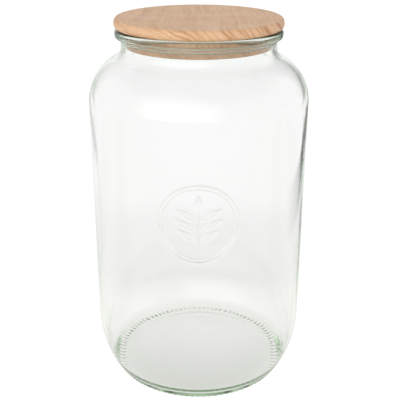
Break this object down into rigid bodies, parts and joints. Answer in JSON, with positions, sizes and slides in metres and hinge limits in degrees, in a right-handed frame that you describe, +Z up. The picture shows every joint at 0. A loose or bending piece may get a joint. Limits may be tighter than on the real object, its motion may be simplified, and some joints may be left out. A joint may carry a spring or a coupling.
{
  "type": "lidded storage jar",
  "caption": "Tall clear glass storage jar with rounded shoulder and moulded rim, closed by a turned beech lid whose plug carries a silicone seal ring.",
  "frame": {"origin": "centre of the jar's footprint, on the plane that its knurled base ring stands on", "axes": "+Z up along the jar's axis of rotation, -Y towards the viewer, the side that carries the moulded relief"},
  "size_m": [0.169, 0.169, 0.2908],
  "materials": {
    "clear_glass": "clear moulded soda-lime glass with a faint green cast",
    "oiled_beech": "turned and sanded beech, satin",
    "pale_silicone": "milky silicone, satin"
  },
  "bodies": {
    "jar": {"glass_jar": "clear_glass"},
    "seal": {"seal_ring": "pale_silicone"},
    "lid": {"beech_lid": "oiled_beech"}
  },
  "joints": [
    {"name": "lid_lift", "type": "slide", "parent": "jar", "child": "seal", "axis": [0, 0, 1], "range_m": [0, 0.12]},
    {"name": "lid_turn", "type": "hinge", "parent": "seal", "child": "lid", "pos_m": [0, 0, 0.2833], "axis": [0, 0, 1], "continuous": true}
  ]
}
